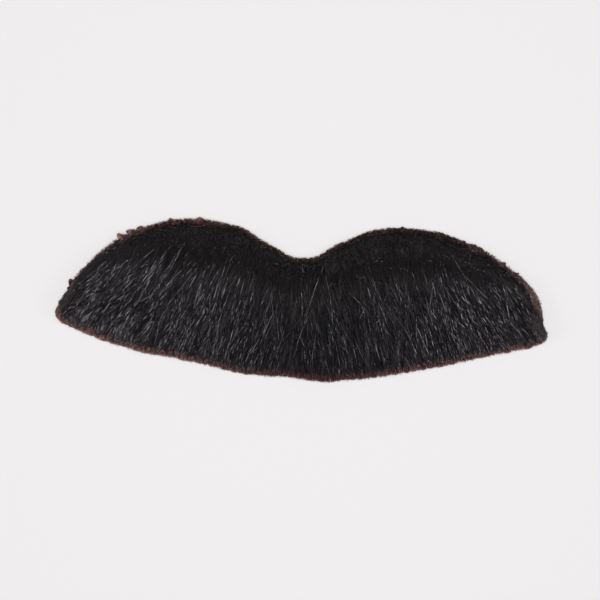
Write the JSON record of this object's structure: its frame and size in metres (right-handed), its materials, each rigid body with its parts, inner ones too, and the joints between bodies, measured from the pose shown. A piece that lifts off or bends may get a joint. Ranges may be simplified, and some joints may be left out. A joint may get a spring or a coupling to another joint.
{
  "type": "fake moustache",
  "caption": "Stick-on fake moustache of black synthetic fur on a cut base cloth, with a flat adhesive pad behind and a notch for the nose.",
  "frame": {"origin": "middle of the adhesive pad's underside, the face that goes on the upper lip, 45% of the way up from the hem", "axes": "+X along the span, to the right as seen from the hair side; +Y up towards the nose; +Z out of the hair, away from the skin"},
  "size_m": [0.1102, 0.0352, 0.0117],
  "materials": {
    "black_fur": "glossy near-black synthetic fibres, brown at the cut ends",
    "brown_knit_cloth": "matt dark brown knitted ground with loose yarn knots at its cut edge",
    "release_paper": "smooth cream peel-off paper over the adhesive"
  },
  "bodies": {
    "root": {"fur_pile": "black_fur", "base_cloth": "brown_knit_cloth", "adhesive_pad": "release_paper"}
  },
  "joints": []
}
